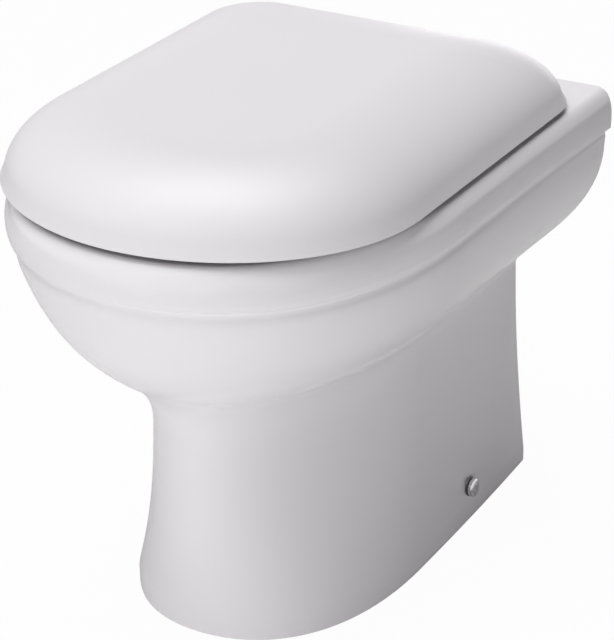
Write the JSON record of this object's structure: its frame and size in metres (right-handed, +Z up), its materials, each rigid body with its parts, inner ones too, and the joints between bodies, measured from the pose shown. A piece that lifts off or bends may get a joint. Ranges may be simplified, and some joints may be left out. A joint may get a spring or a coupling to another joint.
{
  "type": "back to wall toilet",
  "caption": "Back to wall toilet: white china pan on a narrow pedestal, flat open back with outlet spigot and flush inlet, seat ring and wrap-over lid on hinge posts.",
  "frame": {"origin": "on the floor, on the middle plane of the pan, midway between the wall plane and the front of the rim", "axes": "+X to the right of someone facing the wall, +Y towards the wall, +Z up"},
  "size_m": [0.388, 0.506, 0.4575],
  "materials": {
    "china": "gloss",
    "seat_plastic": "gloss",
    "chrome": "polished",
    "steel": "zinc plated",
    "nylon": "satin",
    "clear_rubber": "matte",
    "black_rubber": "matte"
  },
  "bodies": {
    "pan": {"rim_left": "china", "rim_right": "china", "deck": "china", "bowl_front_left": "china", "bowl_front_right": "china", "bowl_rear_left": "china", "bowl_rear_right": "china", "cheek_left": "china", "cheek_right": "china", "pedestal": "china", "sump_left": "china", "sump_right": "china", "trap_left": "china", "trap_right": "china", "outlet_spigot": "china", "flush_inlet": "china", "floor_bracket_left": "steel", "floor_bracket_right": "steel", "side_bush_left": "nylon", "side_bush_right": "nylon", "side_screw_left": "steel", "side_screw_right": "steel", "side_cap_left": "chrome", "side_cap_right": "chrome", "hinge_gasket_left": "clear_rubber", "hinge_gasket_right": "clear_rubber", "hinge_base_left": "chrome", "hinge_base_right": "chrome", "hinge_post_left": "chrome", "hinge_post_right": "chrome", "hinge_pin_left": "steel", "hinge_pin_right": "steel", "hinge_stud_left": "steel", "hinge_stud_right": "steel", "hinge_cone_left": "black_rubber", "hinge_cone_right": "black_rubber", "hinge_washer_left": "steel", "hinge_washer_right": "steel", "hinge_nut_left": "nylon", "hinge_nut_right": "nylon"},
    "seat": {"seat_ring": "seat_plastic", "ring_buffer_front_left": "clear_rubber", "ring_buffer_front_right": "clear_rubber", "ring_buffer_rear_left": "clear_rubber", "ring_buffer_rear_right": "clear_rubber"},
    "lid": {"lid": "seat_plastic", "lid_buffer_front_left": "clear_rubber", "lid_buffer_front_right": "clear_rubber", "lid_buffer_rear_left": "clear_rubber", "lid_buffer_rear_right": "clear_rubber"}
  },
  "joints": [
    {"name": "seat_hinge", "type": "hinge", "parent": "pan", "child": "seat", "pos_m": [0, 0.196, 0.4265], "axis": [-1, 0, 0], "range_deg": [0, 91]},
    {"name": "lid_hinge", "type": "hinge", "parent": "seat", "child": "lid", "pos_m": [0, 0.196, 0.4265], "axis": [-1, 0, 0], "range_deg": [0, 91]}
  ]
}
